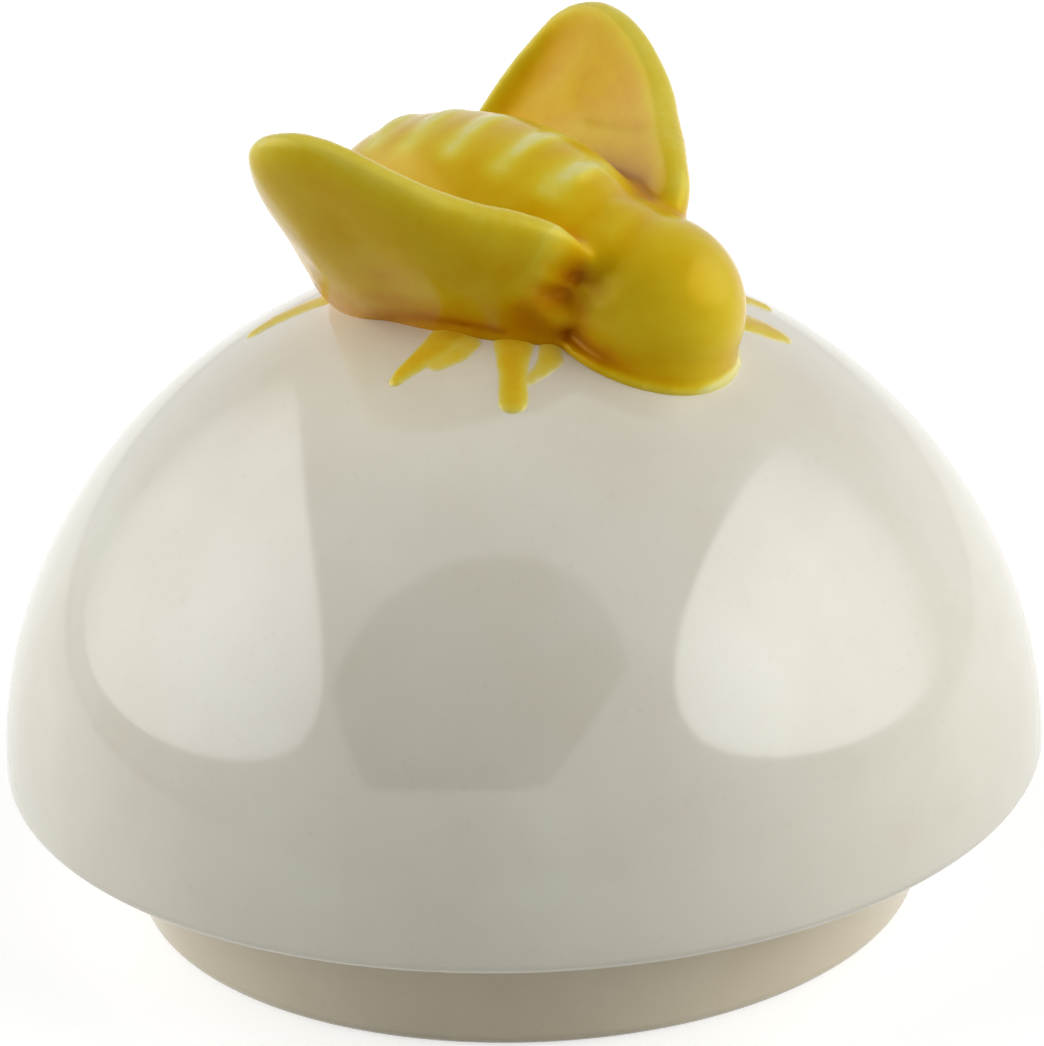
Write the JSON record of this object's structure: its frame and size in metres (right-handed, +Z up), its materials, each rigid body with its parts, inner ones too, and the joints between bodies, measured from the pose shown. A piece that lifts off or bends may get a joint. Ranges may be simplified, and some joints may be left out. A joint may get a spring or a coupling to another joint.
{
  "type": "honey pot lid",
  "caption": "Hollow domed lid of a honey pot in cream glaze, with a locating flange under its ledge and a yellow bee on top to lift it by.",
  "frame": {"origin": "centre of the locating flange's bottom edge, on which the lid stands", "axes": "+Z up along the dome's axis, -Y the way the bee faces, +X to the bee's left"},
  "size_m": [0.09, 0.09, 0.0736],
  "materials": {
    "cream_glaze": "clear gloss glaze over cream earthenware",
    "yellow_glaze": "gloss yellow glaze, thin on ridges and pooled in hollows",
    "leg_glaze": "brushed yellow glaze strokes under clear gloss glaze"
  },
  "bodies": {
    "root": {"lid_dome": "cream_glaze", "locating_flange": "cream_glaze", "bee_seat": "yellow_glaze", "bee_abdomen": "yellow_glaze", "bee_head": "yellow_glaze", "bee_wing_left": "yellow_glaze", "bee_wing_right": "yellow_glaze", "bee_leg_front_right": "leg_glaze", "bee_leg_front_left": "leg_glaze", "bee_leg_middle_right": "leg_glaze", "bee_leg_middle_left": "leg_glaze", "bee_leg_rear_right": "leg_glaze", "bee_leg_rear_left": "leg_glaze"}
  },
  "joints": []
}
